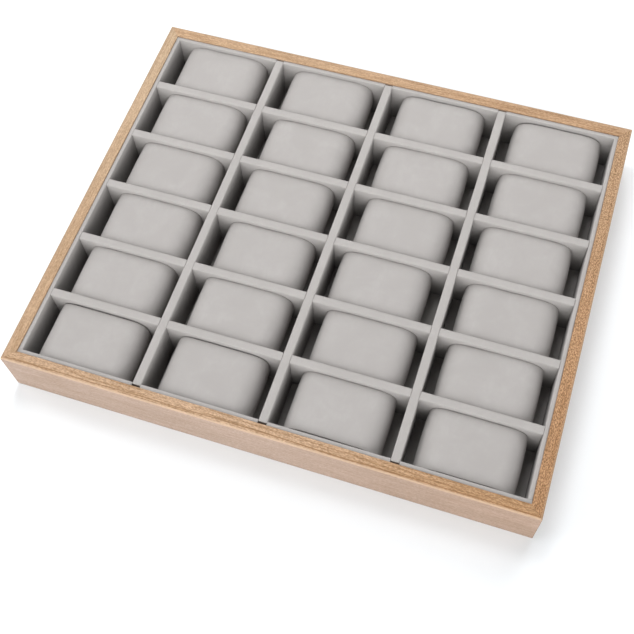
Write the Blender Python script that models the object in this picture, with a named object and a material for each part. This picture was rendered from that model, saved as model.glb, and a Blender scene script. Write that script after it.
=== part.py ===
"""Watch tray for twenty-four watches.

A low oak frame holds a fabric-lined grid of cells, and a soft pillow lifts out of each cell.
Metres, +Z up. The origin lies on the surface below the middle of the tray. X runs along the tray's
long side, and Y runs from its near side to its far side.
"""

import math

import bmesh
import bpy

# Overall size
TRAY_WIDTH = 0.425
TRAY_DEPTH = 0.356
TRAY_HEIGHT = 0.047
COLUMNS = 4
ROWS = 6

# Fits
SEAT_GAP = 0.0003          # between pieces that rest on or against each other
LAP_CLEARANCE = 0.0003     # round a divider in its slot
PILLOW_CLEARANCE = 0.0006  # between a pillow's flat end and the divider beside it

# Wooden frame
FRAME_WALL = 0.0095
FRAME_EDGE_RADIUS = 0.0006
REBATE_WIDTH = 0.005

# Base
FELT_THICKNESS = 0.001
FELT_STANDING = 0.0004     # how far the felt reaches below the frame
FELT_MARGIN = 0.001        # how far the felt stops short of the base board's edge
BOARD_THICKNESS = 0.004

# Liner
FLOOR_PAD_THICKNESS = 0.0018
LINER_WALL = 0.003
LINER_DROP = 0.001         # from the frame's top down to the tops of the liner and dividers
WRAP_RADIUS = 0.0008       # rounding where fabric folds over a top edge

# Dividers
DIVIDER_THICKNESS = 0.007
DIVIDER_END_GAP = 0.0014   # from a long divider's tongue to the wood
END_COLUMN_CHANGE = -0.0016  # how much wider the first and last columns are than the others
END_ROW_CHANGE = 0.0013    # how much deeper the first and last rows are than the others

# Pillows
STRAP_GAP = 0.0082         # room for a strap on each side of a pillow
PILLOW_DROP = 0.0025       # from the frame's top down to a pillow's crown
PILLOW_CORNER = 0.020      # how far the rounding of the cross-section goes along each side
PILLOW_SQUARENESS = 3.0    # of that rounding: 2 would be a circle
PILLOW_DOME = 0.0014       # how far the top and bottom fall from the middle to the left and right
PILLOW_CROWN = 0.0002      # how far they fall slowly from the middle to the ends
PILLOW_END_FALL = 0.0007   # how far they fall besides, close to the ends
PILLOW_END_POWER = 7
PILLOW_SHOULDER = 0.72     # share of half the depth at which the fall begins to show
PILLOW_WAIST = 0.0002      # how far a pillow's sides draw in towards its ends
PILLOW_ROLL = 0.0006       # rounding between the wrapped band and the end panels

# How far a pillow sits to the right of its cell's middle, by row from the far side and column
PILLOW_SHIFTS = {
    (1, 4): 0.0010,
    (2, 2): 0.0004,
    (3, 2): -0.0007,
    (3, 3): 0.0016,
    (3, 4): -0.0010,
    (4, 1): 0.0010,
    (4, 2): 0.0006,
    (4, 3): -0.0022,
    (5, 3): 0.0010,
    (6, 1): -0.0008,
    (6, 2): -0.0006,
}
# Turned pillows, by the share of their clearance that their ends swing through
PILLOW_TURNS = {(5, 3): -0.65, (6, 1): 0.5, (6, 2): -0.65, (6, 3): -0.65, (6, 4): 0.5}
# Pillows moved towards the far side, by the share of half the room that the end rows have to spare
PILLOW_PUSHES = {(6, 1): -0.7, (6, 2): 0.45, (6, 3): 1.0, (6, 4): 1.0}

# Fineness of the rounded forms
EDGE_STEPS = 3
CORNER_STEPS = 5
ROLL_STEPS = 1
SHARP_ANGLE = math.radians(40)
ROUNDING_SHARE = 0.4       # the most of a wall's thickness that one rounded edge takes
SAME_PLACE = 1e-6

# Levels above the surface, from the felt upwards
FRAME_BOTTOM = FELT_STANDING
BOARD_BOTTOM = FELT_THICKNESS + SEAT_GAP
BOARD_TOP = BOARD_BOTTOM + BOARD_THICKNESS
SHOULDER = BOARD_TOP + SEAT_GAP
FLOOR_TOP = SHOULDER + FLOOR_PAD_THICKNESS
WALL_BOTTOM = FLOOR_TOP + SEAT_GAP
WALL_TOP = TRAY_HEIGHT - LINER_DROP
LAP_LEVEL = (WALL_BOTTOM + WALL_TOP) / 2
NOTCH_LEVEL = LAP_LEVEL - LAP_CLEARANCE / 2
TONGUE_LEVEL = LAP_LEVEL + LAP_CLEARANCE / 2

# Plan sizes, from the wood inwards
FRAME_INSIDE_X = TRAY_WIDTH - 2 * FRAME_WALL
FRAME_INSIDE_Y = TRAY_DEPTH - 2 * FRAME_WALL
LINER_OUTSIDE_X = FRAME_INSIDE_X - 2 * SEAT_GAP
LINER_OUTSIDE_Y = FRAME_INSIDE_Y - 2 * SEAT_GAP
CELLS_X = LINER_OUTSIDE_X - 2 * LINER_WALL
CELLS_Y = LINER_OUTSIDE_Y - 2 * LINER_WALL
SLOT_WIDTH = DIVIDER_THICKNESS + 2 * LAP_CLEARANCE


def cell_sizes(count, inside, end_change):
    """Sizes of a run of cells whose two end cells differ from the others by end_change."""
    plain = (inside - (count - 1) * DIVIDER_THICKNESS - 2 * end_change) / count
    return [plain + end_change] + [plain] * (count - 2) + [plain + end_change]


def cell_centres(sizes):
    """Middles of the cells, with a divider between neighbours and the run centred on zero."""
    place = -(sum(sizes) + (len(sizes) - 1) * DIVIDER_THICKNESS) / 2
    centres = []
    for size in sizes:
        centres.append(place + size / 2)
        place += size + DIVIDER_THICKNESS
    return centres


def divider_centres(sizes):
    """Middles of the dividers between neighbouring cells."""
    centres = cell_centres(sizes)
    return [centre + (size + DIVIDER_THICKNESS) / 2 for centre, size in zip(centres[:-1], sizes[:-1])]


COLUMN_SIZES = cell_sizes(COLUMNS, CELLS_X, END_COLUMN_CHANGE)
ROW_SIZES = cell_sizes(ROWS, CELLS_Y, END_ROW_CHANGE)


def clear_scene():
    for obj in list(bpy.data.objects):
        bpy.data.objects.remove(obj, do_unlink=True)


def make_material(name, colour, roughness):
    material = bpy.data.materials.new(name)
    material.use_nodes = True
    shader = material.node_tree.nodes["Principled BSDF"]
    shader.inputs["Base Color"].default_value = (*colour, 1.0)
    shader.inputs["Roughness"].default_value = roughness
    shader.inputs["Metallic"].default_value = 0.0
    material.diffuse_color = (*colour, 1.0)
    return material


def add_object(name, bm, material, location=(0.0, 0.0, 0.0), turn=0.0):
    """Turns a bmesh into a named object, smooth across gentle angles and sharp across steep ones."""
    mesh = bpy.data.meshes.new(name)
    bm.to_mesh(mesh)
    bm.free()
    mesh.materials.append(material)
    mesh.shade_smooth()
    mesh.set_sharp_from_angle(angle=SHARP_ANGLE)
    obj = bpy.data.objects.new(name, mesh)
    obj.location = location
    obj.rotation_euler = (0.0, 0.0, turn)
    bpy.context.scene.collection.objects.link(obj)
    return obj


def loft(rings):
    """Closed solid through a row of matching rings, with a flat cap on the first and the last."""
    bm = bmesh.new()
    loops = [[bm.verts.new(point) for point in ring] for ring in rings]
    for near, far in zip(loops[:-1], loops[1:]):
        for i in range(len(near)):
            j = (i + 1) % len(near)
            bm.faces.new((near[i], near[j], far[j], far[i]))
    bm.faces.new(loops[0])
    bm.faces.new(loops[-1])
    bmesh.ops.recalc_face_normals(bm, faces=bm.faces)
    return bm


def upright_slab(outline, thickness):
    """Slab whose outline stands in the XZ plane, extruded along Y and centred on that plane."""
    rings = [[(x, y, z) for x, z in outline] for y in (-thickness / 2, thickness / 2)]
    return loft(rings)


def flat_panel(width, depth, bottom, top):
    corners = ((-1, -1), (1, -1), (1, 1), (-1, 1))
    rings = [[(sx * width / 2, sy * depth / 2, z) for sx, sy in corners] for z in (bottom, top)]
    return loft(rings)


def runs_along_top(edge):
    start, end = (vert.co for vert in edge.verts)
    at_top = max(abs(start.z - WALL_TOP), abs(end.z - WALL_TOP)) < SAME_PLACE
    return at_top and abs(start.y - end.y) < SAME_PLACE


def round_top_edges(bm, wall):
    """Rounds the long edges along a fabric-wrapped top, within the thickness of the wall."""
    edges = [edge for edge in bm.edges if runs_along_top(edge)]
    radius = min(WRAP_RADIUS, ROUNDING_SHARE * wall)
    bmesh.ops.bevel(bm, geom=edges, offset=radius, segments=EDGE_STEPS, profile=0.5, affect="EDGES")


def corner_arc(centre_u, centre_z, radius, start_degrees):
    """Quarter circle in the section plane, turning clockwise from its start angle."""
    points = []
    for step in range(EDGE_STEPS + 1):
        angle = math.radians(start_degrees - 90 * step / EDGE_STEPS)
        points.append((centre_u + radius * math.cos(angle), centre_z + radius * math.sin(angle)))
    return points


def frame_section():
    """Section of a frame side: u runs from the outer face inwards, and the rebate is inside below."""
    radius = FRAME_EDGE_RADIUS
    lip = FRAME_WALL - REBATE_WIDTH
    section = [(lip, FRAME_BOTTOM)]
    section += [(radius, FRAME_BOTTOM), (0.0, FRAME_BOTTOM + radius)]
    section += corner_arc(radius, TRAY_HEIGHT - radius, radius, 180)
    section += corner_arc(FRAME_WALL - radius, TRAY_HEIGHT - radius, radius, 90)
    section += [(FRAME_WALL, SHOULDER), (lip, SHOULDER)]
    return section


def build_frame(material):
    """Four mitred sides, each made along X with its outer face at y = 0 and then turned to its place."""
    section = frame_section()
    setback = SEAT_GAP / 2 * math.sqrt(2)
    sides = (
        ("frame_near", TRAY_WIDTH, (0.0, -TRAY_DEPTH / 2, 0.0), 0),
        ("frame_right", TRAY_DEPTH, (TRAY_WIDTH / 2, 0.0, 0.0), 90),
        ("frame_far", TRAY_WIDTH, (0.0, TRAY_DEPTH / 2, 0.0), 180),
        ("frame_left", TRAY_DEPTH, (-TRAY_WIDTH / 2, 0.0, 0.0), 270),
    )
    for name, length, location, degrees in sides:
        rings = []
        for end in (-1, 1):
            rings.append([(end * (length / 2 - u - setback), u, z) for u, z in section])
        add_object(name, loft(rings), material, location, math.radians(degrees))


def build_base(board_material, felt_material):
    """Base board let into the frame's rebate, with felt glued under it for the tray to stand on."""
    lip = FRAME_WALL - REBATE_WIDTH
    board_width = TRAY_WIDTH - 2 * (lip + SEAT_GAP)
    board_depth = TRAY_DEPTH - 2 * (lip + SEAT_GAP)
    board = flat_panel(board_width, board_depth, BOARD_BOTTOM, BOARD_TOP)
    add_object("base_board", board, board_material)
    felt = flat_panel(board_width - 2 * FELT_MARGIN, board_depth - 2 * FELT_MARGIN, 0.0, FELT_THICKNESS)
    add_object("base_felt", felt, felt_material)


def slotted_edge(slots, level, edge):
    """Points along a straight edge with a slot cut from the edge to the level at each place."""
    points = []
    for slot in slots:
        left = slot - SLOT_WIDTH / 2
        right = slot + SLOT_WIDTH / 2
        points += [(left, edge), (left, level), (right, level), (right, edge)]
    return points


def board_with_top_slots(length, slots):
    """Outline of a board standing on the floor pad, open at the top where long dividers pass."""
    half = length / 2
    outline = [(-half, WALL_TOP)]
    outline += slotted_edge(slots, NOTCH_LEVEL, WALL_TOP)
    outline += [(half, WALL_TOP), (half, WALL_BOTTOM), (-half, WALL_BOTTOM)]
    return outline


def build_liner(material):
    """Floor pad and four thin walls; the near and far walls are notched for the long dividers."""
    pad = flat_panel(LINER_OUTSIDE_X, LINER_OUTSIDE_Y, SHOULDER, FLOOR_TOP)
    add_object("floor_pad", pad, material)
    side_length = CELLS_Y - 2 * SEAT_GAP
    wall_x = (LINER_OUTSIDE_X - LINER_WALL) / 2
    wall_y = (LINER_OUTSIDE_Y - LINER_WALL) / 2
    notches = divider_centres(COLUMN_SIZES)
    walls = (
        ("liner_near", LINER_OUTSIDE_X, notches, (0.0, -wall_y, 0.0), 0),
        ("liner_far", LINER_OUTSIDE_X, notches, (0.0, wall_y, 0.0), 0),
        ("liner_left", side_length, [], (-wall_x, 0.0, 0.0), 90),
        ("liner_right", side_length, [], (wall_x, 0.0, 0.0), 90),
    )
    for name, length, slots, location, degrees in walls:
        bm = upright_slab(board_with_top_slots(length, slots), LINER_WALL)
        round_top_edges(bm, LINER_WALL)
        add_object(name, bm, material, location, math.radians(degrees))


def build_cross_dividers(material):
    """Boards across the tray, open at the top where the long dividers pass over them."""
    length = CELLS_X - 2 * SEAT_GAP
    outline = board_with_top_slots(length, divider_centres(COLUMN_SIZES))
    rows_from_far = reversed(divider_centres(ROW_SIZES))
    for number, y in enumerate(rows_from_far, start=1):
        bm = upright_slab(outline, DIVIDER_THICKNESS)
        round_top_edges(bm, DIVIDER_THICKNESS)
        add_object(f"cross_divider_{number}", bm, material, (0.0, y, 0.0))


def long_divider_outline():
    """Outline of a long divider: open below over the cross dividers, with a tongue at each end."""
    body = CELLS_Y / 2 - SEAT_GAP
    tongue = FRAME_INSIDE_Y / 2 - DIVIDER_END_GAP
    outline = [(-body, WALL_BOTTOM)]
    outline += slotted_edge(divider_centres(ROW_SIZES), TONGUE_LEVEL, WALL_BOTTOM)
    outline += [(body, WALL_BOTTOM), (body, TONGUE_LEVEL), (tongue, TONGUE_LEVEL), (tongue, WALL_TOP)]
    outline += [(-tongue, WALL_TOP), (-tongue, TONGUE_LEVEL), (-body, TONGUE_LEVEL)]
    return outline


def build_long_dividers(material):
    """Boards from the near side to the far side, lapped over the cross dividers at half height."""
    outline = long_divider_outline()
    for number, x in enumerate(divider_centres(COLUMN_SIZES), start=1):
        bm = upright_slab(outline, DIVIDER_THICKNESS)
        round_top_edges(bm, DIVIDER_THICKNESS)
        add_object(f"long_divider_{number}", bm, material, (x, 0.0, 0.0), math.radians(90))


def pillow_ring(half_width, half_height, reach, y):
    """Cross-section of a pillow, rounded and domed, at one place along its depth.

    The corners meet at the middle of the left and right sides, where they share a point.
    """
    ring = []
    for side_x, side_z, start in ((1, 1, 0), (-1, 1, 90), (-1, -1, 180), (1, -1, 270)):
        ends_on_flat = side_x == side_z
        for step in range(CORNER_STEPS + ends_on_flat):
            angle = math.radians(start + 90 * step / CORNER_STEPS)
            across = abs(math.cos(angle)) ** (2 / PILLOW_SQUARENESS)
            upwards = abs(math.sin(angle)) ** (2 / PILLOW_SQUARENESS)
            x = side_x * (half_width - reach + reach * across)
            z = half_height * upwards
            z -= PILLOW_DOME * (x / half_width) ** 2 * (z / half_height) ** 2
            ring.append((x, y, side_z * z))
        if ends_on_flat:
            ring.append((0.0, y, side_z * half_height))
    return ring


def pillow_stations(half_depth):
    """Places along a pillow's depth, each with how far the roll to the end panel insets it."""
    stations = []
    for step in range(ROLL_STEPS + 1):
        angle = math.pi / 2 * step / ROLL_STEPS
        place = half_depth - PILLOW_ROLL * (1 - math.cos(angle))
        inset = PILLOW_ROLL * (1 - math.sin(angle))
        stations.append((place, inset))
    stations.append((half_depth * PILLOW_SHOULDER, 0.0))
    near_half = [(-place, inset) for place, inset in stations]
    return near_half + [(0.0, 0.0)] + stations[::-1]


def pillow_mesh(half_width, half_depth, half_height):
    """Crowned pillow with its sides drawn in towards two flat end panels."""
    rings = []
    for y, inset in pillow_stations(half_depth):
        towards_end = abs(y / half_depth)
        fall = PILLOW_CROWN * towards_end**2 + PILLOW_END_FALL * towards_end**PILLOW_END_POWER
        width = half_width - PILLOW_WAIST * towards_end**2 - inset
        height = half_height - fall - inset
        rings.append(pillow_ring(width, height, PILLOW_CORNER - inset, y))
    return loft(rings)


def build_pillows(material):
    """One pillow in each cell, resting on the floor pad, with its origin in its middle."""
    bottom = FLOOR_TOP + SEAT_GAP
    top = TRAY_HEIGHT - PILLOW_DROP
    half_width = min(COLUMN_SIZES) / 2 - STRAP_GAP
    half_depth = min(ROW_SIZES) / 2 - PILLOW_CLEARANCE
    half_height = (top - bottom) / 2
    spare_depth = ROW_SIZES[0] - min(ROW_SIZES)
    rows_from_far = list(reversed(cell_centres(ROW_SIZES)))
    for row, y in enumerate(rows_from_far, start=1):
        for column, x in enumerate(cell_centres(COLUMN_SIZES), start=1):
            shift = PILLOW_SHIFTS.get((row, column), 0.0)
            push = PILLOW_PUSHES.get((row, column), 0.0) * spare_depth / 2
            turn = PILLOW_TURNS.get((row, column), 0.0) * PILLOW_CLEARANCE / half_width
            middle = (x + shift, y + push, (top + bottom) / 2)
            bm = pillow_mesh(half_width, half_depth, half_height)
            add_object(f"pillow_r{row}_c{column}", bm, material, middle, turn)


def build_tray():
    oak = make_material("oak_veneer", (0.64, 0.43, 0.27), 0.5)
    fibreboard = make_material("fibreboard", (0.35, 0.25, 0.17), 0.8)
    felt = make_material("base_felt", (0.05, 0.05, 0.05), 0.95)
    liner_velvet = make_material("liner_velvet", (0.55, 0.53, 0.52), 0.9)
    pillow_velvet = make_material("pillow_velvet", (0.60, 0.58, 0.57), 0.9)
    build_frame(oak)
    build_base(fibreboard, felt)
    build_liner(liner_velvet)
    build_cross_dividers(liner_velvet)
    build_long_dividers(liner_velvet)
    build_pillows(pillow_velvet)


clear_scene()
build_tray()
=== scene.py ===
"""Looks of the watch tray: stuffed pillows, wrapped dividers, oak veneer, camera and studio light.

Metres, +Z up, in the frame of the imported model. X runs along the tray's long side, and Y runs from
its near side to its far side. Row 1 is the far row and column 1 is the left one.
"""

import math

import bmesh
import bpy
import numpy as np
from mathutils import Matrix, Vector, noise


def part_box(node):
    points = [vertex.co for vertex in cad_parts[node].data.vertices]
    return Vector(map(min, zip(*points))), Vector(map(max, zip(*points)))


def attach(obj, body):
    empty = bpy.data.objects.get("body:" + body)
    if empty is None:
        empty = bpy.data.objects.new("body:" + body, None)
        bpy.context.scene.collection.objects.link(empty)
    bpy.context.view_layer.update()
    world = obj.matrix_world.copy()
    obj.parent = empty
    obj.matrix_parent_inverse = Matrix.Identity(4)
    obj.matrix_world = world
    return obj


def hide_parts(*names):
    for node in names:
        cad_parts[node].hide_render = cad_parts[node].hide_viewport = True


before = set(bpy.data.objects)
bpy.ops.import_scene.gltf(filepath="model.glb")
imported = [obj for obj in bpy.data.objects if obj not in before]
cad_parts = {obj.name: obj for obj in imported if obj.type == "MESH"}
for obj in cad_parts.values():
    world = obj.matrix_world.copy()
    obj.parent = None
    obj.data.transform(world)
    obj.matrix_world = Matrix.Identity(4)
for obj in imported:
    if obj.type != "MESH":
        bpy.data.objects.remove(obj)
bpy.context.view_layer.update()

ROWS = 6
COLUMNS = 4
MM = 0.001
SAME_PLACE = 1e-6
NOISE_SEED = 1             # of the noise vectors, which take it from the clock otherwise
CREASE_ANGLE = 50          # in degrees, and edges with a sharper fold are shown sharp
HALF_WIDTH = 0.2125        # of the whole tray
HALF_DEPTH = 0.178

# Camera, placed as the photograph was taken
CAMERA_PLACE = (0.15056, -0.40374, 0.73484)
CAMERA_RIGHT = (0.949012, 0.312576, -0.040908)
CAMERA_UP = (-0.259424, 0.8481, 0.461978)
CAMERA_BACK = (0.179097, -0.42781, 0.885947)
SENSOR_WIDTH = 36.0
FOCAL_LENGTH = 56.448
CLIP_START = 0.01
CLIP_END = 50

# Light: soft panels at the far side and the left, and wide low lights all round
PANELS = (                 # heading in degrees from +X towards +Y, height, distance, size and power
    (90, 42, 1.49, 1.2, 6.62),
    (90, 65, 1.4, 0.9, 3.34),
    (135, 75, 1.4, 0.5, 4.69),
    (225, 42, 1.49, 1.2, 4.48),
)
SOFT_LIGHTS = (            # heading, height, spread in degrees and strength
    (0, 12, 30, 0.7),
    (90, 25, 50, 1.249),
    (180, 25, 50, 1.471),
    (270, 12, 30, 0.893),
    (270, 25, 50, 1.422),
    (315, 25, 50, 1.128),
)
SOFT_DISTANCE = 1.0        # of the wide lights, which changes nothing in the picture
SKY_STRENGTH = 1.0         # of the white behind the scene, which casts no light
FLOOR_REACH = 1.7          # from the middle of the tray to each side of the studio floor

# Velvet, in cells of noise on a metre
PATCHES = 38
SMUDGES = 150
STREAKS = 420
FIBRES = 2400
STREAK_SQUEEZE = (1, 0.25, 1)   # of the coordinates, so that the streaks are drawn out along Y

# Oak veneer
TOP_FADE = (0.0460, 0.0467)         # heights between which the sides' look gives way to the top's
EDGE_BAND = (0.7 * MM, 1.8 * MM)    # from the outer edge, where the edge colour fades out; on the near side a pale veneer edge and painted highlight
LINE_PLACE = 1.9 * MM               # of the long dark line, from the outer edge
LINE_WANDER = 1.6 * MM              # how much farther in it strays
LINE_BAND = (0.15 * MM, 0.6 * MM)   # from the middle of that line, where it fades out

# Pillow form
CORNER_REACH = 20 * MM     # how far the rounding of the cross-section goes along each side
CORNER_POWER = 3.0         # 2 would be a circle, and more is squarer
DOME = 1.4 * MM            # how far the top and bottom fall from the middle to the left and right
CROWN = 0.2 * MM           # how far they fall slowly from the middle to the ends
END_FALL = 0.7 * MM        # how far they fall besides, close to the ends
END_POWER = 7
WAIST = 0.2 * MM           # how far its sides draw in towards its ends
ROLL = 0.3 * MM            # rounding between the wrapped band and the end panels
RING_POINTS = 64
CORNER_POINTS = 61         # on each corner at first, before the ring's points are spread evenly
ROLL_STEPS = 4
BAND_STEPS = 12
PANEL_SHARES = (0.94, 0.78, 0.56, 0.32, 0.12)

# Pillow simulation, run at a larger scale where the cloth solver is steady
CLOTH_SCALE = 10
CLOTH_FRAMES = 20
CLOTH_PRESSURE = 4.0
CLOTH_QUALITY = 5
SLACK = 0.3 * MM           # how much smaller than its place a pillow is before it is stuffed
SWELL_CAP = 0.4 * MM
VARIANTS = 6
WALL_MARGIN = 0.16 * MM    # least room between a pillow and the fabric beside it
SEAM_DEPTH = 0.08 * MM
SEAM_LEAN = 0.5            # share of a seam's pull along the depth that is kept
DENT_HEIGHT = 0.3 * MM     # of the unevenness that a pillow has before it is stuffed
DENT_LENGTH = 14 * MM
DENT_STEPS = (7.3, 3.1, 5.7)   # through the noise from one pillow's dents to the next one's

# Room in millimetres between a pillow's ends and the fabric, by row and column where it differs
END_GAP = 0.2
FAR_GAPS = {(1, 3): 0.9, (1, 4): 1.4, (6, 1): 1.0, (6, 2): 0.85, (6, 4): 0.35}
NEAR_GAPS = {              # at the left and at the right
    (5, 3): (1.1, 0.2),
    (6, 2): (0.9, 0.3),
    (6, 3): (2.2, 1.3),
    (6, 4): (1.5, 1.3),
}

# Wrapped boards
LAP_ROOM = 0.08 * MM       # round a divider in its slot
SEAM_ROOM = 0.05 * MM      # between two boards that meet in a corner
WRAP_RADIUS = 0.9 * MM     # rounding where the fabric folds over a top edge
RIM_RADIUS = 0.5 * MM      # the same on the liner walls
WRAP_SHARE = 0.4           # of a board's thickness, the most that a rounding may take on a divider
WRAP_STEPS = 4
CUT_STEP = 4 * MM          # between the cuts along a board's length, where it can bend
HEIGHT_STEPS = 6           # parts that the cuts make of its height
NEAR_TRIMS = (0.6 * MM, 0.6 * MM, 0.2 * MM)   # what each long divider lacks at its near end
CROSS_SHIFTS = (0.0, -0.2 * MM, 0.1 * MM, 0.4 * MM, 0.5 * MM)   # of the cross ones to the far side
FABRIC_WAVE = 0.07 * MM    # how far a wrapped divider strays from flat
RIM_WAVE = 0.03 * MM       # and a wrapped liner wall
WAVE_LENGTH = 26 * MM
RIPPLE_LENGTH = 9 * MM     # of the quicker waves on the slow ones
RIPPLE_SHARE = 0.4
WAVE_STEPS = (3.7, 1.9, 5.3)   # through the noise from one board's waves to the next one's
RIM_SEED = 11              # place in the noise of the first liner wall; cross dividers start at 0
LONG_SEED = 21             # and of the first long divider
RIM_REACH = 0.22 * MM      # how far the rim's fabric swells towards the wood

# Wooden frame
EDGE_RADIUS = 0.2 * MM
EDGE_STEPS = 5
MITRE_ROOM = 0.04 * MM
REBATE_ROOM = 0.3 * MM     # between the base board and the rebate round it


def direction(heading, height):
    """Unit vector towards a place in the sky, from its heading and height in degrees."""
    h = math.radians(heading)
    e = math.radians(height)
    return Vector((math.cos(h) * math.cos(e), math.sin(h) * math.cos(e), math.sin(e)))


def add_camera():
    data = bpy.data.cameras.new("camera")
    data.sensor_width = SENSOR_WIDTH
    data.lens = FOCAL_LENGTH
    data.clip_start = CLIP_START
    data.clip_end = CLIP_END
    camera = bpy.data.objects.new("camera", data)
    turn = Matrix((CAMERA_RIGHT, CAMERA_UP, CAMERA_BACK)).transposed()
    camera.matrix_world = Matrix.Translation(CAMERA_PLACE) @ turn.to_4x4()
    bpy.context.scene.collection.objects.link(camera)
    bpy.context.scene.camera = camera


def add_light(name, kind, heading, height, distance, strength):
    data = bpy.data.lights.new(name, kind)
    data.energy = strength
    light = bpy.data.objects.new(name, data)
    light.rotation_mode = "QUATERNION"
    light.rotation_quaternion = direction(heading, height).to_track_quat("Z", "Y")
    light.location = direction(heading, height) * distance
    light.visible_camera = False
    bpy.context.scene.collection.objects.link(light)
    return data


def add_studio():
    scene = bpy.context.scene
    scene.view_settings.view_transform = "Standard"
    scene.view_settings.look = "None"
    world = bpy.data.worlds.new("studio")
    world.use_nodes = True
    background = world.node_tree.nodes["Background"]
    background.inputs["Color"].default_value = (1.0, 1.0, 1.0, 1.0)
    background.inputs["Strength"].default_value = SKY_STRENGTH
    scene.world = world
    world.cycles_visibility.diffuse = False
    world.cycles_visibility.glossy = False
    world.cycles_visibility.transmission = False
    for heading, height, distance, size, power in PANELS:
        name = f"panel_{heading}_{height}"
        panel = add_light(name, "AREA", heading, height, distance, power)
        panel.shape = "DISK"
        panel.size = size
    for heading, height, spread, strength in SOFT_LIGHTS:
        name = f"soft_light_{heading}_{height}"
        soft = add_light(name, "SUN", heading, height, SOFT_DISTANCE, strength)
        soft.angle = math.radians(spread)


class Paint:
    """Short calls for building the nodes of one material."""

    def __init__(self, name):
        self.material = bpy.data.materials.new(name)
        self.material.use_nodes = True
        self.tree = self.material.node_tree
        self.shader = self.tree.nodes["Principled BSDF"]
        self.place = self.tree.nodes.new("ShaderNodeTexCoord").outputs["Object"]

    def link(self, source, target):
        self.tree.links.new(source, target)

    def put(self, socket, value):
        if isinstance(value, bpy.types.NodeSocket):
            self.link(value, socket)
        else:
            socket.default_value = value

    def set(self, **values):
        for name, value in values.items():
            self.put(self.shader.inputs[name.replace("_", " ")], value)

    def stretched(self, scale, shift):
        node = self.tree.nodes.new("ShaderNodeMapping")
        self.link(self.place, node.inputs["Vector"])
        node.inputs["Scale"].default_value = scale
        node.inputs["Location"].default_value = shift
        return node.outputs["Vector"]

    def grained(self, along, stretch, slant, shift):
        """Coordinates drawn out along the grain, which may run at a slant of some degrees."""
        node = self.tree.nodes.new("ShaderNodeMapping")
        node.vector_type = "TEXTURE"
        self.link(self.place, node.inputs["Vector"])
        node.inputs["Location"].default_value = shift
        node.inputs["Rotation"].default_value = (0, 0, math.radians(slant))
        node.inputs["Scale"].default_value = (stretch, 1, 1) if along == "X" else (1, stretch, 1)
        return node.outputs["Vector"]

    def noise(self, place, scale, detail=2.0, roughness=0.5, distortion=0.0):
        node = self.tree.nodes.new("ShaderNodeTexNoise")
        self.link(place, node.inputs["Vector"])
        node.inputs["Scale"].default_value = scale
        node.inputs["Detail"].default_value = detail
        node.inputs["Roughness"].default_value = roughness
        node.inputs["Distortion"].default_value = distortion
        return node.outputs["Fac"]

    def remap(self, value, low, high, new_low=0.0, new_high=1.0):
        node = self.tree.nodes.new("ShaderNodeMapRange")
        node.interpolation_type = "SMOOTHSTEP"
        self.put(node.inputs["Value"], value)
        node.inputs["From Min"].default_value = low
        node.inputs["From Max"].default_value = high
        node.inputs["To Min"].default_value = new_low
        node.inputs["To Max"].default_value = new_high
        return node.outputs["Result"]

    def math(self, operation, a, b=0.0):
        node = self.tree.nodes.new("ShaderNodeMath")
        node.operation = operation
        self.put(node.inputs[0], a)
        self.put(node.inputs[1], b)
        return node.outputs["Value"]

    def mix(self, factor, a, b, blend="MIX"):
        node = self.tree.nodes.new("ShaderNodeMix")
        node.data_type = "RGBA"
        node.blend_type = blend
        self.put(node.inputs["Factor"], factor)
        self.put(node.inputs["A"], a)
        self.put(node.inputs["B"], b)
        return node.outputs["Result"]

    def axis(self, name):
        node = self.tree.nodes.new("ShaderNodeSeparateXYZ")
        self.link(self.place, node.inputs["Vector"])
        return node.outputs[name]

    def bump(self, height, distance, strength, under=None):
        node = self.tree.nodes.new("ShaderNodeBump")
        node.inputs["Strength"].default_value = strength
        node.inputs["Distance"].default_value = distance
        self.link(height, node.inputs["Height"])
        if under is not None:
            self.link(under, node.inputs["Normal"])
        return node.outputs["Normal"]


def colour(red, green, blue):
    return (red, green, blue, 1.0)


def velvet(name, light, dark, shift, shade=None):
    """Short-piled velvet: soft patches where the pile leans, and a fine fibrous surface.

    shade holds a low height, a high one and the share of the colour left below the low one: painted
    shade, which darkens the fabric towards the floor of the cells.
    """
    paint = Paint(name)
    body = paint.stretched((1, 1, 1), shift)
    patches = paint.noise(body, PATCHES, detail=3.0, roughness=0.55, distortion=0.6)
    smudges = paint.noise(body, SMUDGES, detail=2.0, roughness=0.5, distortion=0.4)
    fibres = paint.noise(body, FIBRES, detail=2.0, roughness=0.6)
    drawn_out = paint.stretched(STREAK_SQUEEZE, shift)
    streaks = paint.noise(drawn_out, STREAKS, detail=2.0, roughness=0.6)
    base = paint.mix(paint.remap(patches, 0.3, 0.7), dark, light)
    base = paint.mix(paint.remap(streaks, 0.35, 0.65, 0.0, 0.3), base, dark)
    base = paint.mix(paint.remap(fibres, 0.3, 0.7, 0.0, 0.35), base, dark)
    base = paint.mix(paint.remap(smudges, 0.35, 0.65, 0.0, 0.45), base, dark)
    # Painted shade: below the high height the colour darkens, down to the given share at the low one
    if shade is not None:
        low, high, share = shade
        depth = paint.remap(paint.axis("Z"), low, high)
        with_painted_shade = paint.mix(1.0, base, colour(share, share, share), "MULTIPLY")
        base = paint.mix(depth, with_painted_shade, base)
    paint.set(Base_Color=base, Roughness=0.95, Specular_IOR_Level=0.12)
    paint.set(Sheen_Weight=0.05, Sheen_Roughness=0.45, Sheen_Tint=colour(1.0, 0.98, 0.96))
    soft = paint.bump(patches, 0.25 * MM, 0.5)
    paint.set(Normal=paint.bump(fibres, 0.05 * MM, 0.6, soft))
    return paint.material


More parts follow.
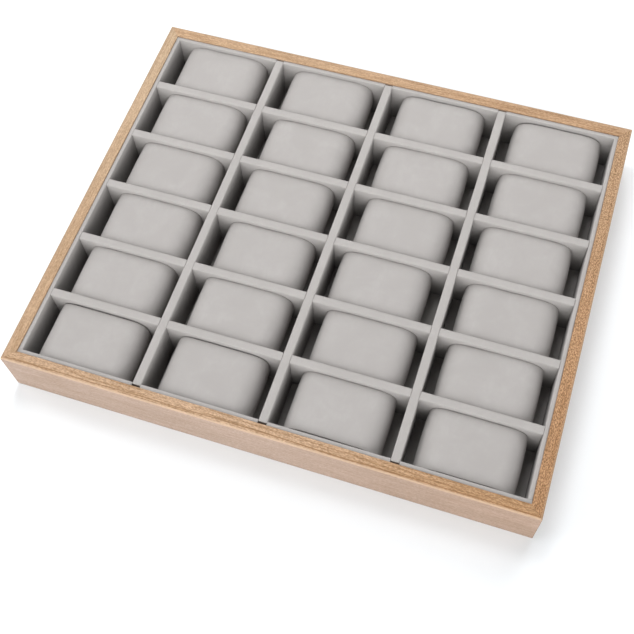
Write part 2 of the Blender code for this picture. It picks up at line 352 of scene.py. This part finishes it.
def oak(name, along, outer, look, shift):
    """Oak veneer along one side of the frame: growth bands, fibres and fine short pores.

    The outer edge is at the coordinate given as outer, and look is one of the tables of oak below.
    """
    paint = Paint(name)
    across = "Y" if along == "X" else "X"
    from_edge = paint.math("ABSOLUTE", paint.math("SUBTRACT", paint.axis(across), outer))
    on_top = paint.remap(paint.axis("Z"), *TOP_FADE)
    drift = paint.remap(paint.axis(along), *look["drift"])
    slant = look["slant"]
    along_growth = paint.grained(along, look["growth_stretch"], slant, shift)
    growth = paint.noise(along_growth, look["growth_scale"], roughness=0.5, distortion=0.3)
    along_fibres = paint.grained(along, look["fibre_stretch"], slant, shift)
    fibres = paint.noise(along_fibres, look["fibre_scale"], roughness=0.6)
    along_pores = paint.grained(along, look["pore_stretch"], slant, shift)
    pores = paint.noise(along_pores, look["pore_scale"], detail=1.0)
    along_shade = paint.grained(along, look["shade_stretch"], 0.0, shift)
    shade = paint.noise(along_shade, look["shade_scale"])
    side = paint.mix(drift, look["side"], look["side_end"])
    base = paint.mix(on_top, side, paint.mix(drift, look["top"], look["top_end"]))
    deep = paint.mix(1.0, base, look["deep"], "MULTIPLY")
    pale = paint.mix(1.0, base, look["pale"], "MULTIPLY")
    base = paint.mix(paint.remap(shade, 0.35, 0.7, 0.0, 0.7), base, pale)
    dark_bands = paint.remap(growth, 0.48, 0.62, 0.0, look["growth"])
    band_share = paint.remap(on_top, 0, 1, look["growth_side"], 1.0)
    base = paint.mix(paint.math("MULTIPLY", dark_bands, band_share), base, deep)
    thin_lines = paint.remap(fibres, 0.4, 0.7, 0.0, look["fibres"])
    line_share = paint.remap(on_top, 0, 1, look["fibre_side"], 1.0)
    base = paint.mix(paint.math("MULTIPLY", thin_lines, line_share), base, deep)
    grain = paint.mix(paint.remap(pores, 0.36, 0.62), look["ridge"], look["pore"])
    grained = paint.mix(1.0, base, grain, "MULTIPLY")
    pore_share = paint.remap(on_top, 0, 1, look["pore_side"], look["pores"])
    base = paint.mix(pore_share, base, grained)
    # Edge colour along the top's outer edge; the near side's pale one is partly a painted highlight
    # of the rounded edge
    edged = paint.remap(from_edge, *EDGE_BAND, look["edging"], 0.0)
    base = paint.mix(paint.math("MULTIPLY", edged, on_top), base, look["edge"])
    if look["line"] > 0:
        wander = paint.math("MULTIPLY", paint.remap(shade, 0.2, 0.8), LINE_WANDER)
        line_place = paint.math("ADD", wander, LINE_PLACE)
        off_line = paint.math("ABSOLUTE", paint.math("SUBTRACT", from_edge, line_place))
        lined = paint.remap(off_line, *LINE_BAND, look["line"], 0.0)
        deeper = paint.mix(1.0, deep, look["deep"], "MULTIPLY")
        base = paint.mix(paint.math("MULTIPLY", lined, on_top), base, deeper)
    roughness = paint.remap(pores, 0.4, 0.7, 0.55, 0.72)
    paint.set(Base_Color=base, Roughness=roughness, Specular_IOR_Level=0.3)
    pits = paint.bump(pores, -0.03 * MM, 0.3)
    paint.set(Normal=paint.bump(growth, 0.04 * MM, 0.4, pits))
    return paint.material


def fibreboard(name):
    """Pressed board: brown with pale and dark flecks."""
    paint = Paint(name)
    flecks = paint.noise(paint.place, 900, detail=4.0, roughness=0.7)
    clouds = paint.noise(paint.place, 60, detail=3.0)
    brown = colour(0.30, 0.19, 0.11)
    tan = colour(0.38, 0.26, 0.16)
    base = paint.mix(paint.remap(clouds, 0.3, 0.7), brown, tan)
    base = paint.mix(paint.remap(flecks, 0.45, 0.75, 0.0, 0.7), base, colour(0.52, 0.39, 0.26))
    paint.set(Base_Color=base, Roughness=0.85, Normal=paint.bump(flecks, 0.1 * MM, 0.6))
    return paint.material


def felt(name):
    """Dark needled felt with matted, paler fibres."""
    paint = Paint(name)
    mat = paint.noise(paint.place, 700, detail=5.0, roughness=0.75, distortion=1.5)
    clouds = paint.noise(paint.place, 45, detail=3.0, roughness=0.6)
    black = colour(0.035, 0.035, 0.037)
    charcoal = colour(0.055, 0.055, 0.058)
    base = paint.mix(paint.remap(clouds, 0.3, 0.7), black, charcoal)
    base = paint.mix(paint.remap(mat, 0.5, 0.75, 0.0, 0.8), base, colour(0.16, 0.16, 0.17))
    paint.set(Base_Color=base, Roughness=1.0, Sheen_Weight=0.15)
    paint.set(Normal=paint.bump(mat, 0.3 * MM, 0.7))
    return paint.material


def floor_paint():
    """Pale matt studio paper."""
    paint = Paint("studio_floor")
    clouds = paint.noise(paint.place, 3.0)
    darker = colour(0.865, 0.895, 0.918)
    paler = colour(0.872, 0.902, 0.925)
    base = paint.mix(paint.remap(clouds, 0.3, 0.7), darker, paler)
    paint.set(Base_Color=base, Roughness=1.0, Specular_IOR_Level=0.0)
    return paint.material


def add_floor():
    mesh = bpy.data.meshes.new("studio_floor")
    signs = ((-1, -1), (1, -1), (1, 1), (-1, 1))
    corners = [(FLOOR_REACH * x, FLOOR_REACH * y, 0) for x, y in signs]
    mesh.from_pydata(corners, [], [(0, 1, 2, 3)])
    mesh.materials.append(floor_paint())
    obj = bpy.data.objects.new("studio_floor", mesh)
    bpy.context.scene.collection.objects.link(obj)


def dress(nodes, material):
    for name in nodes:
        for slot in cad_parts[name].material_slots:
            slot.material = material


def add_piece(name, bm, material, slot, body, *nodes):
    """Turns a bmesh into a smooth named piece that rides on a body and stands for CAD nodes."""
    mesh = bpy.data.meshes.new(name)
    bm.to_mesh(mesh)
    bm.free()
    mesh.materials.append(material)
    mesh.shade_smooth()
    mesh.set_sharp_from_angle(angle=math.radians(CREASE_ANGLE))
    obj = bpy.data.objects.new(name, mesh)
    bpy.context.scene.collection.objects.link(obj)
    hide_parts(*nodes)
    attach(obj, body)


def loft(rings):
    """Closed solid through a row of matching rings, with a flat cap on the first and the last."""
    bm = bmesh.new()
    loops = [[bm.verts.new(point) for point in ring] for ring in rings]
    for near, far in zip(loops[:-1], loops[1:]):
        for i in range(len(near)):
            j = (i + 1) % len(near)
            bm.faces.new((near[i], near[j], far[j], far[i]))
    bm.faces.new(loops[0])
    bm.faces.new(loops[-1])
    bmesh.ops.recalc_face_normals(bm, faces=bm.faces)
    return bm


def cut_across(bm, normal, places):
    """Cuts edges round a solid at some places along a direction, so that it can bend there."""
    for place in places:
        geometry = list(bm.verts) + list(bm.edges) + list(bm.faces)
        bmesh.ops.bisect_plane(bm, geom=geometry, plane_co=Vector(normal) * place, plane_no=normal)


def wave(bm, seed, height):
    """Small slow unevenness of a wrapped surface."""
    noise.seed_set(NOISE_SEED)
    shift = Vector([seed * step for step in WAVE_STEPS])
    for vert in bm.verts:
        slow = noise.noise_vector(vert.co / WAVE_LENGTH + shift)
        quick = noise.noise_vector(vert.co / RIPPLE_LENGTH - shift)
        vert.co += height * (slow + RIPPLE_SHARE * quick)


def put_in_order(elements, place):
    """Numbers a solid's points or faces by their places, so that every run numbers them the same."""
    ordered = sorted(elements, key=lambda element: [round(c / SAME_PLACE) for c in place(element)])
    for number, element in enumerate(ordered):
        element.index = number
    elements.sort()


def wrapped_board(name, outline, low, high, along, nodes, material, seed):
    """Board in a fabric wrap. The outline is in the plane of its length and height."""
    if along == "X":
        rings = [[(s, y, z) for s, z in outline] for y in (low, high)]
        normal = (1, 0, 0)
    else:
        rings = [[(x, s, z) for s, z in outline] for x in (low, high)]
        normal = (0, 1, 0)
    bm = loft(rings)
    top = max(z for s, z in outline)
    across = 1 if along == "X" else 0
    edges = [
        edge
        for edge in bm.edges
        if all(abs(vert.co.z - top) < SAME_PLACE for vert in edge.verts)
        and abs(edge.verts[0].co[across] - edge.verts[1].co[across]) < SAME_PLACE
    ]
    is_rim = name.startswith("rim")
    radius = RIM_RADIUS if is_rim else min(WRAP_RADIUS, WRAP_SHARE * (high - low))
    bmesh.ops.bevel(bm, geom=edges, offset=radius, segments=WRAP_STEPS, profile=0.5, affect="EDGES")
    start = min(s for s, z in outline)
    length = max(s for s, z in outline) - start
    count = int(length / CUT_STEP)
    cut_across(bm, normal, [start + length * i / count for i in range(1, count)])
    bottom = min(z for s, z in outline)
    height = top - bottom
    cut_across(bm, (0, 0, 1), [bottom + height * i / HEIGHT_STEPS for i in range(1, HEIGHT_STEPS)])
    wave(bm, seed, RIM_WAVE if is_rim else FABRIC_WAVE)
    bmesh.ops.recalc_face_normals(bm, faces=bm.faces)
    put_in_order(bm.verts, lambda vert: vert.co)
    put_in_order(bm.faces, lambda face: face.calc_center_median())
    add_piece(name, bm, material, "liner_velvet", "tray", *nodes)


def cross_box(number):
    """Box of a wrapped cross divider, a little off the place of its CAD node."""
    shift = Vector((0, CROSS_SHIFTS[number - 1], 0))
    low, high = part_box(f"cross_divider_{number}")
    return low + shift, high + shift


def slotted(slots, half_width, level, edge):
    """Points along an edge with a slot from the edge to a level at each place."""
    points = []
    for place in slots:
        left = place - half_width
        right = place + half_width
        points += [(left, edge), (left, level), (right, level), (right, edge)]
    return points


def add_boards(material, with_painted_shade):
    """Liner walls and dividers with painted shade, more of it on the left wall and long dividers."""
    long_nodes = [f"long_divider_{i}" for i in range(1, COLUMNS)]
    cross_nodes = [f"cross_divider_{i}" for i in range(1, ROWS)]
    long_boxes = [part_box(node) for node in long_nodes]
    cross_boxes = [cross_box(number) for number in range(1, ROWS)]
    long_places = [(low.x + high.x) / 2 for low, high in long_boxes]
    cross_places = sorted((low.y + high.y) / 2 for low, high in cross_boxes)
    half_slot = (long_boxes[0][1].x - long_boxes[0][0].x) / 2 + LAP_ROOM
    bottom = cross_boxes[0][0].z
    top = cross_boxes[0][1].z
    lap = (bottom + top) / 2
    left_low, left_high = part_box("liner_left")
    right_low, right_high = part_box("liner_right")
    near_low, near_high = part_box("liner_near")
    far_low, far_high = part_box("liner_far")

    def open_above(start, end):
        line = [(start, top)] + slotted(long_places, half_slot, lap - LAP_ROOM / 2, top)
        return line + [(end, top), (end, bottom), (start, bottom)]

    for number, (node, (low, high)) in enumerate(zip(cross_nodes, cross_boxes)):
        outline = open_above(low.x, high.x)
        wrapped_board(f"wrapped_{node}", outline, low.y, high.y, "X", [node], material, number)
    notched = open_above(near_low.x - RIM_REACH, near_high.x + RIM_REACH)
    start = near_high.y + SEAM_ROOM
    end = far_low.y - SEAM_ROOM
    plain = [(start, top), (end, top), (end, bottom), (start, bottom)]
    walls = (
        ("near", notched, near_low.y - RIM_REACH, near_high.y, "X", material),
        ("far", notched, far_low.y, far_high.y + RIM_REACH, "X", material),
        ("left", plain, left_low.x - RIM_REACH, left_high.x, "Y", with_painted_shade),
        ("right", plain, right_low.x, right_high.x + RIM_REACH, "Y", material),
    )
    for number, (side, outline, low, high, along, cloth) in enumerate(walls):
        nodes = [f"liner_{side}"]
        wrapped_board(f"rim_{side}", outline, low, high, along, nodes, cloth, RIM_SEED + number)
    body_start = near_high.y + LAP_ROOM
    body_end = far_low.y - LAP_ROOM
    under = lap + LAP_ROOM / 2
    for number, (node, (low, high)) in enumerate(zip(long_nodes, long_boxes)):
        outline = [(body_start, bottom)] + slotted(cross_places, half_slot, under, bottom)
        outline += [(body_end, bottom), (body_end, under), (high.y, under), (high.y, top)]
        near_end = low.y + NEAR_TRIMS[number]
        outline += [(near_end, top), (near_end, under), (body_start, under)]
        seed = LONG_SEED + number
        wrapped_board(f"wrapped_{node}", outline, low.x, high.x, "Y", [node], with_painted_shade, seed)


def quarter(centre_u, centre_z, radius, start_degrees):
    """Quarter circle in the section plane, turning clockwise from its start angle."""
    points = []
    for step in range(EDGE_STEPS + 1):
        angle = math.radians(start_degrees - 90 * step / EDGE_STEPS)
        points.append((centre_u + radius * math.cos(angle), centre_z + radius * math.sin(angle)))
    return points


def add_frame(materials):
    """Four oak sides with tight mitres, and the rebate for the base board below."""
    near_low, near_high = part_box("frame_near")
    left_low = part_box("frame_left")[0]
    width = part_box("frame_right")[1].x - left_low.x
    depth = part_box("frame_far")[1].y - near_low.y
    wall = near_high.y - near_low.y
    bottom = near_low.z
    top = near_high.z
    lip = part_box("base_board")[0].x - left_low.x - REBATE_ROOM
    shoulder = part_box("floor_pad")[0].z
    radius = EDGE_RADIUS
    section = [(lip, bottom), (radius, bottom)]
    section += quarter(radius, bottom + radius, radius, 270)[1:-1]
    section += [(0.0, bottom + radius)]
    section += quarter(radius, top - radius, radius, 180)
    section += quarter(wall - radius, top - radius, radius, 90)
    section += [(wall, shoulder), (lip, shoulder)]
    setback = MITRE_ROOM / 2 * math.sqrt(2)
    sides = (
        ("near", width, (0.0, -depth / 2, 0.0), 0),
        ("right", depth, (width / 2, 0.0, 0.0), 90),
        ("far", width, (0.0, depth / 2, 0.0), 180),
        ("left", depth, (-width / 2, 0.0, 0.0), 270),
    )
    for name, length, place, degrees in sides:
        turn = Matrix.Translation(place) @ Matrix.Rotation(math.radians(degrees), 4, "Z")
        rings = []
        for end in (-1, 1):
            ring = [Vector((end * (length / 2 - u - setback), u, z)) for u, z in section]
            rings.append([turn @ point for point in ring])
        side = loft(rings)
        add_piece(f"oak_{name}", side, materials[name], "oak_veneer", "tray", f"frame_{name}")


def ring_outline(half_width, half_height, reach):
    """Points at even steps along the rounded and domed cross-section, as pairs of x and z."""
    corners = ((1, 1, 0), (-1, 1, 90), (-1, -1, 180), (1, -1, 270))
    fine = []
    for side_x, side_z, start in corners:
        reach_z = min(reach, half_height)
        for degrees in np.linspace(start, start + 90, CORNER_POINTS):
            angle = math.radians(degrees)
            across = abs(math.cos(angle)) ** (2 / CORNER_POWER)
            upwards = abs(math.sin(angle)) ** (2 / CORNER_POWER)
            x = side_x * (half_width - reach + reach * across)
            z = side_z * (half_height - reach_z + reach_z * upwards)
            z -= DOME * (x / half_width) ** 2 * (z / half_height) ** 2 * side_z
            fine.append((x, z))
    closed = np.array(fine + fine[:1])
    run = np.concatenate([[0], np.cumsum(np.linalg.norm(np.diff(closed, axis=0), axis=1))])
    wanted = np.linspace(0, run[-1], RING_POINTS, endpoint=False)
    return np.column_stack([np.interp(wanted, run, closed[:, axis]) for axis in (0, 1)])


def pillow_stations(half_depth):
    """Rings from the near end to the far one: place along the depth, inset, share of full size."""
    near = [(-half_depth, ROLL, share) for share in reversed(PANEL_SHARES)]
    for step in range(ROLL_STEPS + 1):
        angle = math.pi / 2 * step / ROLL_STEPS
        near.append((-half_depth + ROLL * (1 - math.cos(angle)), ROLL * (1 - math.sin(angle)), 1.0))
    first = near[-1][0]
    band = [(first + (-2 * first) * step / BAND_STEPS, 0.0, 1.0) for step in range(1, BAND_STEPS)]
    far = [(-y, inset, share) for y, inset, share in reversed(near)]
    return near + band + far


def pillow_form(half_width, half_depth, half_height):
    """Vertices and faces of a closed pillow, and the number of the ring that each vertex is on."""
    points = []
    rings = []
    stations = pillow_stations(half_depth)
    for number, (y, inset, share) in enumerate(stations):
        towards_end = (y / half_depth) ** 2
        width = half_width - WAIST * towards_end - inset
        end_fall = END_FALL * abs(y / half_depth) ** END_POWER
        height = half_height - CROWN * towards_end - end_fall - inset
        outline = ring_outline(width, height, CORNER_REACH - inset) * share
        points.extend((x, y, z) for x, z in outline)
        rings.extend([number] * RING_POINTS)
    faces = []
    count = RING_POINTS
    for ring in range(len(stations) - 1):
        for i in range(count):
            j = (i + 1) % count
            low = ring * count
            high = low + count
            faces.append((low + i, high + i, high + j, low + j))
    for y, ring, flip in ((-half_depth, 0, False), (half_depth, len(stations) - 1, True)):
        middle = len(points)
        points.append((0.0, y, 0.0))
        rings.append(ring)
        for i in range(count):
            j = (i + 1) % count
            corner = (ring * count + i, ring * count + j, middle)
            faces.append(corner[::-1] if flip else corner)
    return np.array(points, float), faces, np.array(rings)


def roughen(points, seed):
    """Small smooth dents and swellings over a form, along the line from its middle."""
    moved = points.copy()
    shift = Vector([seed * step for step in DENT_STEPS])
    for i, point in enumerate(points):
        value = noise.noise(Vector(point) / DENT_LENGTH + shift)
        outward = Vector(point).normalized()
        moved[i] += np.array(outward) * value * DENT_HEIGHT
    return moved


def inflate(points, faces, name):
    """Stuffs a form: cloth under pressure with no gravity, with each point's travel capped."""
    mesh = bpy.data.meshes.new(name)
    mesh.from_pydata([tuple(p * CLOTH_SCALE) for p in points], [], faces)
    obj = bpy.data.objects.new(name, mesh)
    scene = bpy.context.scene
    scene.collection.objects.link(obj)
    cloth = obj.modifiers.new("stuffing", "CLOTH")
    cloth.settings.quality = CLOTH_QUALITY
    cloth.settings.use_pressure = True
    cloth.settings.uniform_pressure_force = CLOTH_PRESSURE
    cloth.settings.effector_weights.gravity = 0
    cloth.point_cache.frame_start = 1
    cloth.point_cache.frame_end = CLOTH_FRAMES
    for step in range(1, CLOTH_FRAMES + 1):
        scene.frame_set(step)
    graph = bpy.context.evaluated_depsgraph_get()
    shaped = obj.evaluated_get(graph).data
    swollen = np.array([v.co for v in shaped.vertices], float) / CLOTH_SCALE
    scene.frame_set(1)
    bpy.data.objects.remove(obj)
    bpy.data.meshes.remove(mesh)
    travel = swollen - points
    length = np.maximum(np.linalg.norm(travel, axis=1, keepdims=True), SAME_PLACE)
    return points + travel * SWELL_CAP * np.tanh(length / SWELL_CAP) / length


def sink_seams(points, rings):
    """Draws in the ring where the wrapped band is sewn to each end panel."""
    sunk = points.copy()
    last = rings.max()
    for seam in (len(PANEL_SHARES), last - len(PANEL_SHARES)):
        on_seam = rings == seam
        inward = -points[on_seam]
        inward[:, 1] *= SEAM_LEAN
        sunk[on_seam] += SEAM_DEPTH * inward / np.linalg.norm(inward, axis=1, keepdims=True)
    return sunk


def fill_cell(points, rings, row, column, middle):
    """Draws a stuffed pillow out in depth until its ends stand where they should in the cell."""
    near, far = cell_limits(row)
    near_left, near_right = NEAR_GAPS.get((row, column), (END_GAP, END_GAP))
    to_right = (points[:, 0] / np.abs(points[:, 0]).max() + 1) / 2
    near_end = near + (near_left + (near_right - near_left) * to_right) * MM - middle.y
    far_end = far - FAR_GAPS.get((row, column), END_GAP) * MM - middle.y
    depth = points[:, 1]
    on_seam = np.isin(rings, (len(PANEL_SHARES), rings.max() - len(PANEL_SHARES)))
    near_seam = depth[on_seam & (depth < 0)].mean()
    far_seam = depth[on_seam & (depth > 0)].mean()
    filled = points.copy()
    filled[:, 1] = np.where(depth < 0, depth * near_end / near_seam, depth * far_end / far_seam)
    low = near + WALL_MARGIN - middle.y
    high = far - WALL_MARGIN - middle.y
    filled[:, 1] = np.clip(filled[:, 1], low, high)
    return filled


def pillow_variants(half_width, half_depth, half_height):
    slack = SLACK
    points, faces, rings = pillow_form(half_width - slack, half_depth - slack, half_height - slack)
    shapes = []
    for number in range(VARIANTS):
        shape = roughen(points, number + 1)
        shape = inflate(shape, faces, f"stuffing_{number}")
        shapes.append(sink_seams(shape, rings))
    return shapes, faces, rings


def cell_limits(row):
    """Nearest and farthest y of the cells of a row."""
    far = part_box("liner_far")[0].y if row == 1 else cross_box(row - 1)[0].y
    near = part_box("liner_near")[1].y if row == ROWS else cross_box(row)[1].y
    return near, far


def add_pillow(row, column, shape, faces, rings, material):
    """One pillow in its cell. Every other one makes half a turn, so that the shapes repeat less."""
    node = f"pillow_r{row}_c{column}"
    low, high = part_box(node)
    middle = (low + high) / 2
    points = shape.copy()
    if (row + column) % 2:
        points[:, :2] *= -1
    points = fill_cell(points, rings, row, column, middle) + np.array(middle)
    points[:, 2] = np.maximum(points[:, 2], low.z)
    name = f"cushion_r{row}_c{column}"
    mesh = bpy.data.meshes.new(name)
    mesh.from_pydata([tuple(p) for p in points], [], faces)
    mesh.materials.append(material)
    obj = bpy.data.objects.new(name, mesh)
    bpy.context.scene.collection.objects.link(obj)
    softness = obj.modifiers.new("softness", "SUBSURF")
    softness.levels = 1
    softness.render_levels = 1
    mesh.shade_smooth()
    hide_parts(node)
    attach(obj, node)


def add_pillows(material):
    low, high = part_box("pillow_r1_c1")
    half = (high - low) / 2
    shapes, faces, rings = pillow_variants(half.x, half.y, half.z)
    for row in range(1, ROWS + 1):
        for column in range(1, COLUMNS + 1):
            number = (row * 5 + column * 3) % VARIANTS
            add_pillow(row, column, shapes[number], faces, rings, material)


# Oak: colours, and strength, size and stretch of each kind of grain, with its share on the sides
OAK = {
    "top": colour(0.432, 0.287, 0.174),
    "top_end": colour(0.402, 0.251, 0.141),
    "side": colour(0.366, 0.270, 0.213),
    "side_end": colour(0.348, 0.245, 0.183),
    "drift": (-0.12, 0.16),
    "deep": colour(0.72, 0.65, 0.55),
    "pale": colour(1.13, 1.13, 1.15),
    "pore": colour(0.56, 0.52, 0.46),
    "ridge": colour(1.25, 1.26, 1.28),
    "edge": colour(0.350, 0.243, 0.158),
    "edging": 0.6,
    "slant": 0.0,
    "growth": 0.7,
    "growth_side": 0.4,
    "growth_scale": 620,
    "growth_stretch": 26,
    "fibres": 0.45,
    "fibre_side": 0.5,
    "fibre_scale": 1500,
    "fibre_stretch": 12,
    "pores": 0.5,
    "pore_side": 0.25,
    "pore_scale": 1800,
    "pore_stretch": 3.5,
    "shade_scale": 60,
    "shade_stretch": 6,
    "line": 0.0,
}
NEAR_OAK = OAK | {
    "top": colour(0.451, 0.306, 0.196),
    "top_end": colour(0.412, 0.248, 0.130),
    "drift": (-0.02, 0.2),
    # Pale veneer edge with a painted highlight of the rounded outer edge
    "edge": colour(0.564, 0.417, 0.305),
    "edging": 0.7,
    "slant": -2.0,
    "growth": 0.9,
    "fibres": 0.5,
    "pores": 0.6,
    "line": 0.8,
}
LEFT_OAK = OAK | {
    "top": colour(0.423, 0.286, 0.178),
    "top_end": colour(0.443, 0.321, 0.212),
    "growth": 0.5,
    "fibres": 0.4,
    "pores": 0.42,
}
RIGHT_OAK = OAK | {
    "top": colour(0.393, 0.224, 0.114),
    "top_end": colour(0.393, 0.250, 0.143),
    "growth": 0.5,
    "fibres": 0.4,
    "pores": 1.2,
    "pore_scale": 1700,
    "pore_stretch": 3.0,
}

# Velvet: colour where the pile stands and where it leans, and place in the noise
LINER = (colour(0.392, 0.374, 0.363), colour(0.357, 0.341, 0.330), (0.4, 0.2, 0.9))
PILLOW = (colour(0.389, 0.372, 0.363), colour(0.355, 0.338, 0.328), (0, 0, 0))
# Painted shade of the liner fabric towards the floor of the cells; the second reaches nearly to the
# top
LOW_PAINTED_SHADE = (0.008, 0.030, 0.60)          # two heights and a share, as velvet takes them
HIGH_PAINTED_SHADE = (0.037, 0.0458, 0.76)

add_camera()
add_studio()
add_floor()
add_frame(
    {
        "near": oak("oak_near", "X", -HALF_DEPTH, NEAR_OAK, (0.3, 0.1, 0.0)),
        "far": oak("oak_far", "X", HALF_DEPTH, OAK, (1.3, 0.7, 0.2)),
        "left": oak("oak_left", "Y", -HALF_WIDTH, LEFT_OAK, (2.1, 0.4, 0.5)),
        "right": oak("oak_right", "Y", HALF_WIDTH, RIGHT_OAK, (3.7, 0.9, 0.1)),
    }
)
dress(["base_board"], fibreboard("pressed_board"))
dress(["base_felt"], felt("needled_felt"))
# Liner fabric with painted shade towards the cell floors, and a copy whose painted shade reaches
# higher
liner = velvet("low_painted_shade_velvet_cloth", *LINER, LOW_PAINTED_SHADE)
liner_with_high_painted_shade = velvet("high_painted_shade_velvet_cloth", *LINER, HIGH_PAINTED_SHADE)
dress(["floor_pad"], velvet("floor_velvet_cloth", *LINER))
add_boards(liner, liner_with_high_painted_shade)
add_pillows(velvet("pillow_velvet_cloth", *PILLOW))
